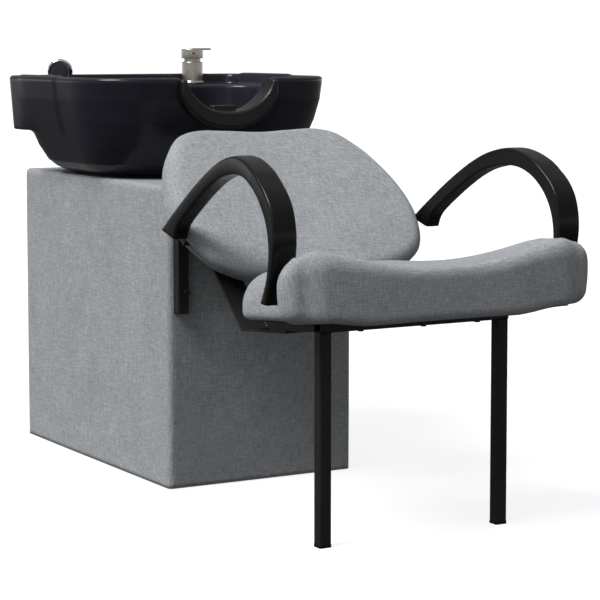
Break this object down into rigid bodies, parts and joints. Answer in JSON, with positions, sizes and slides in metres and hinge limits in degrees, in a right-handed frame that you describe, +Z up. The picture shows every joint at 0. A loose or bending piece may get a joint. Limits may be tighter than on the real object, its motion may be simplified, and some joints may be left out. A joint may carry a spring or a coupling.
{
  "type": "shampoo backwash unit",
  "caption": "Salon backwash unit: cloth-covered cabinet with a dark moulded basin, neck rest, lever tap and hand shower, joined to a padded chair with curved armrests on two front legs.",
  "frame": {"origin": "on the floor under the middle of the whole unit", "axes": "+Z up; the sitter faces -Y and the cabinet and basin are at +Y; +X is to the right of somebody who looks along +Y"},
  "size_m": [0.6072, 1.3096, 0.82],
  "materials": {
    "linen": "woven grey linen-look cloth",
    "board": "raw particle board",
    "basin_gloss": "glossy black resin",
    "rubber": "satin black rubber",
    "black_steel": "black powder coat",
    "black_plastic": "satin black moulded",
    "white_plastic": "smooth white",
    "zinc_steel": "blackened zinc",
    "nickel": "brushed nickel",
    "chrome": "polished",
    "brass": "as turned",
    "ceramic_plastic": "smooth",
    "red_mark": "gloss"
  },
  "bodies": {
    "unit": {"arm_bolts": "zinc_steel", "arm_tabs": "zinc_steel", "armrest_left": "black_plastic", "armrest_right": "black_plastic", "back_strap_left": "black_steel", "back_strap_right": "black_steel", "backrest_pad": "linen", "backrest_shell": "linen", "basin": "basin_gloss", "basin_bolts": "zinc_steel", "cabinet_cover": "linen", "cabinet_front": "board", "cabinet_glides": "black_plastic", "cabinet_rear_rails": "board", "cabinet_side_left": "board", "cabinet_side_right": "board", "cabinet_top": "board", "frame_screws": "zinc_steel", "front_leg_left": "black_steel", "front_leg_right": "black_steel", "leg_caps": "black_plastic", "mounting_post_left": "black_steel", "mounting_post_right": "black_steel", "neck_rest": "rubber", "post_bolts": "zinc_steel", "post_caps": "black_plastic", "post_nuts": "zinc_steel", "seat_board": "board", "seat_cross_tube": "black_steel", "seat_pad": "linen", "seat_rear_tube": "black_steel", "side_rail_left": "black_steel", "side_rail_right": "black_steel", "spray_holder": "black_plastic", "spray_holder_nut": "black_plastic", "tap_body": "nickel", "tap_cartridge": "ceramic_plastic", "tap_flange": "nickel", "tap_gasket": "rubber", "tap_locknut": "brass", "tap_shank": "brass", "tap_tails": "brass", "trap_body": "black_plastic", "trap_cup": "black_plastic", "trap_inlet_nut": "black_plastic", "trap_outlet_nut": "black_plastic", "waste_flange": "nickel", "waste_gasket": "rubber", "waste_locknut": "black_plastic", "waste_pipe": "white_plastic", "waste_tailpiece": "black_plastic"},
    "tap_stem": {"cartridge_stem": "brass"},
    "tap_lever": {"tap_handle": "nickel", "tap_indicator": "red_mark", "lever_pin": "brass"},
    "hand_shower": {"spray_body": "chrome", "spray_ring": "chrome", "spray_face": "black_plastic", "spray_hose_nut": "black_plastic"},
    "strainer": {"hair_strainer": "nickel"}
  },
  "joints": [
    {"name": "tap_turn", "type": "hinge", "parent": "unit", "child": "tap_stem", "pos_m": [0.14, 0.542, 0.8], "axis": [0, 0, 1], "range_deg": [-50, 50]},
    {"name": "lever_tilt", "type": "hinge", "parent": "tap_stem", "child": "tap_lever", "pos_m": [0.14, 0.542, 0.805], "axis": [0, -1, 0], "range_deg": [0, 15]},
    {"name": "hand_shower_lift", "type": "slide", "parent": "unit", "child": "hand_shower", "axis": [0, 0, 1], "range_m": [0, 0.1]},
    {"name": "strainer_lift", "type": "slide", "parent": "unit", "child": "strainer", "axis": [0, 0, 1], "range_m": [0, 0.03]}
  ]
}
